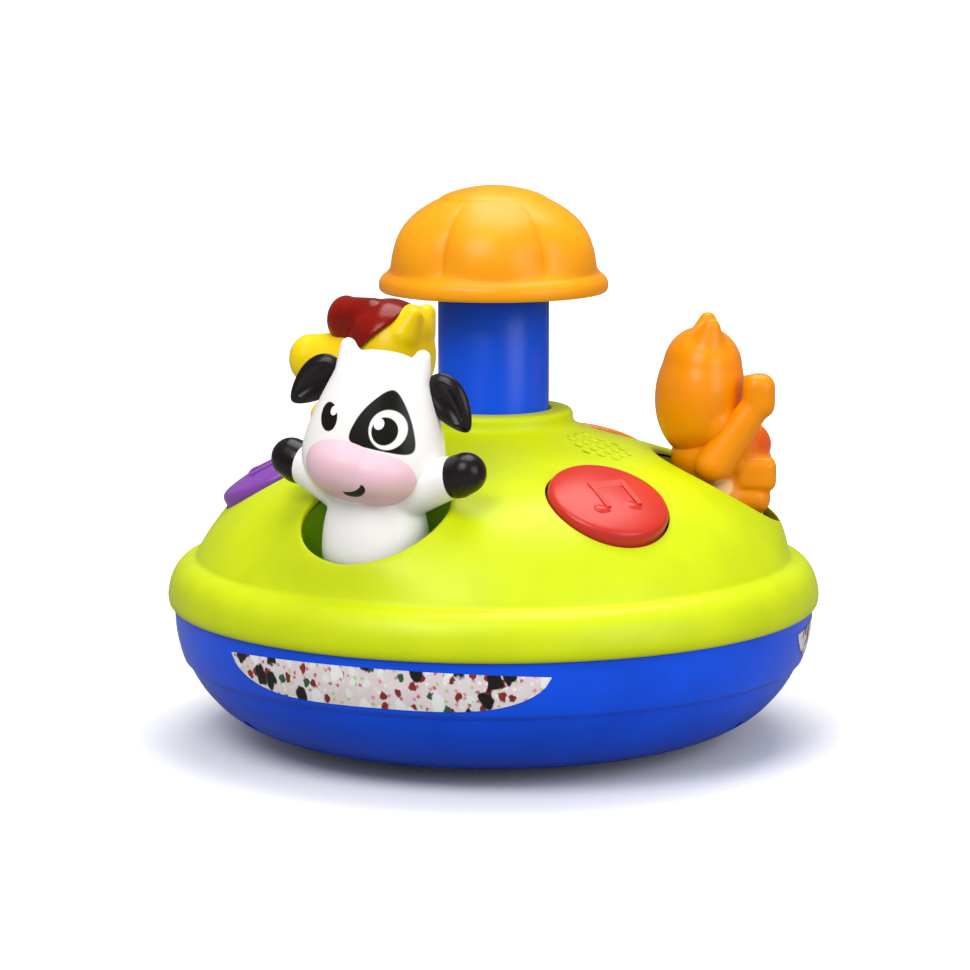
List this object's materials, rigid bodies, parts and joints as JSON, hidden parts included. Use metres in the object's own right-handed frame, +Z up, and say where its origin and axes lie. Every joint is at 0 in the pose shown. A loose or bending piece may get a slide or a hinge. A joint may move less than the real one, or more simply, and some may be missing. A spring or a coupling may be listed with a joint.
{
  "type": "press spinner toy",
  "caption": "Nursery toy: pressing the mushroom knob spins a domed body with rocking cow, cat and horse figures and light-up buttons.",
  "frame": {"origin": "on the floor under the spin axis, at the centre of the anti-slip ring's underside", "axes": "+Z up along the spin axis; -Y towards the toy's front, between the cow and the red button; +X towards the cat"},
  "size_m": [0.23, 0.23, 0.195],
  "materials": {
    "lime": "moulded lime plastic",
    "blue": "moulded blue plastic",
    "orange": "moulded orange plastic",
    "cat_orange": "moulded orange plastic",
    "white": "moulded white plastic",
    "pink": "painted pink plastic",
    "black": "moulded black plastic",
    "yellow": "moulded yellow plastic",
    "mane_red": "moulded dark red plastic",
    "red_lens": "translucent red plastic",
    "purple_lens": "translucent purple plastic",
    "orange_lens": "translucent orange plastic",
    "rubber": "matt thermoplastic rubber",
    "steel": "plated steel",
    "board": "glass-fibre circuit board",
    "acetal": "acetal",
    "battery": "steel can with a printed sleeve",
    "dark_plastic": "black plastic"
  },
  "bodies": {
    "foot": {"foot_plate": "blue", "anti_slip_ring": "rubber", "spindle": "acetal", "spindle_screw": "steel", "thrust_washer": "acetal", "retaining_clip": "steel", "return_spring": "steel"},
    "drive": {"drive_nut": "acetal", "spring_washer": "steel"},
    "plunger": {"twisted_rod": "steel", "rod_screw": "steel", "post_tube": "blue", "knob_base": "orange", "knob_cap": "orange", "knob_screw_1": "steel", "knob_screw_2": "steel"},
    "housing": {"bowl": "blue", "dome_cover": "lime", "figure_carrier": "lime", "ratchet_plate": "acetal", "circuit_board": "board", "switch_body": "dark_plastic", "battery_1": "battery", "battery_2": "battery", "battery_link": "steel", "battery_terminal": "steel", "battery_door": "blue", "battery_door_screw": "steel", "case_screw_1": "steel", "case_screw_2": "steel", "case_screw_3": "steel", "speaker": "dark_plastic", "red_button_board": "board", "red_lamp": "acetal", "purple_button_board": "board", "purple_lamp": "acetal", "orange_button_board": "board", "orange_lamp": "acetal", "cow_pivot_pin": "steel", "cow_centring_spring": "steel", "cat_pivot_pin": "steel", "cat_centring_spring": "steel", "horse_pivot_pin": "steel", "horse_centring_spring": "steel"},
    "slider": {"switch_slider": "dark_plastic"},
    "red_key": {"red_button": "red_lens"},
    "purple_key": {"purple_button": "purple_lens"},
    "orange_key": {"orange_button": "orange_lens"},
    "cow": {"cow_body": "white", "cow_head": "white", "cow_muzzle": "pink", "cow_left_ear": "black", "cow_right_ear": "black"},
    "cat": {"cat_body": "cat_orange", "cat_head": "cat_orange", "cat_muzzle": "cat_orange"},
    "horse": {"horse_body": "yellow", "horse_head": "yellow", "horse_mane": "mane_red"}
  },
  "joints": [
    {"name": "spin", "type": "hinge", "parent": "foot", "child": "housing", "pos_m": [0, 0, 0.012], "axis": [0, 0, 1], "continuous": true},
    {"name": "press", "type": "slide", "parent": "foot", "child": "plunger", "axis": [0, 0, -1], "range_m": [0, 0.018], "stiffness_N_per_m": 220, "springref_m": -0.015, "deforming": ["return_spring"]},
    {"name": "nut_turn", "type": "hinge", "parent": "foot", "child": "drive", "pos_m": [0, 0, 0.0634], "axis": [0, 0, 1], "range_deg": [-1, 136]},
    {"name": "switch_slide", "type": "slide", "parent": "housing", "child": "slider", "axis": [0, 1, 0], "range_m": [0, 0.0044]},
    {"name": "orange_press", "type": "slide", "parent": "housing", "child": "orange_key", "axis": [-0.2268, -0.3927, -0.8913], "range_m": [0, 0.0018], "stiffness_N_per_m": 500, "springref_m": -0.001},
    {"name": "purple_press", "type": "slide", "parent": "housing", "child": "purple_key", "axis": [0.4535, 0, -0.8913], "range_m": [0, 0.0018], "stiffness_N_per_m": 500, "springref_m": -0.001},
    {"name": "red_press", "type": "slide", "parent": "housing", "child": "red_key", "axis": [-0.2268, 0.3927, -0.8913], "range_m": [0, 0.0018], "stiffness_N_per_m": 500, "springref_m": -0.001},
    {"name": "cat_rock", "type": "hinge", "parent": "housing", "child": "cat", "pos_m": [0.079, 0, 0.067], "axis": [1, 0, 0], "range_deg": [-5, 5], "stiffness_Nm_per_rad": 0.12},
    {"name": "horse_rock", "type": "hinge", "parent": "housing", "child": "horse", "pos_m": [-0.0395, 0.06842, 0.067], "axis": [-0.5, 0.866, 0], "range_deg": [-5, 5], "stiffness_Nm_per_rad": 0.12},
    {"name": "cow_rock", "type": "hinge", "parent": "housing", "child": "cow", "pos_m": [-0.0395, -0.06842, 0.067], "axis": [-0.5, -0.866, 0], "range_deg": [-5, 5], "stiffness_Nm_per_rad": 0.12}
  ],
  "couplings": [
    {"joint": "nut_turn", "follows": "press", "rad_per_m": 130.9}
  ]
}
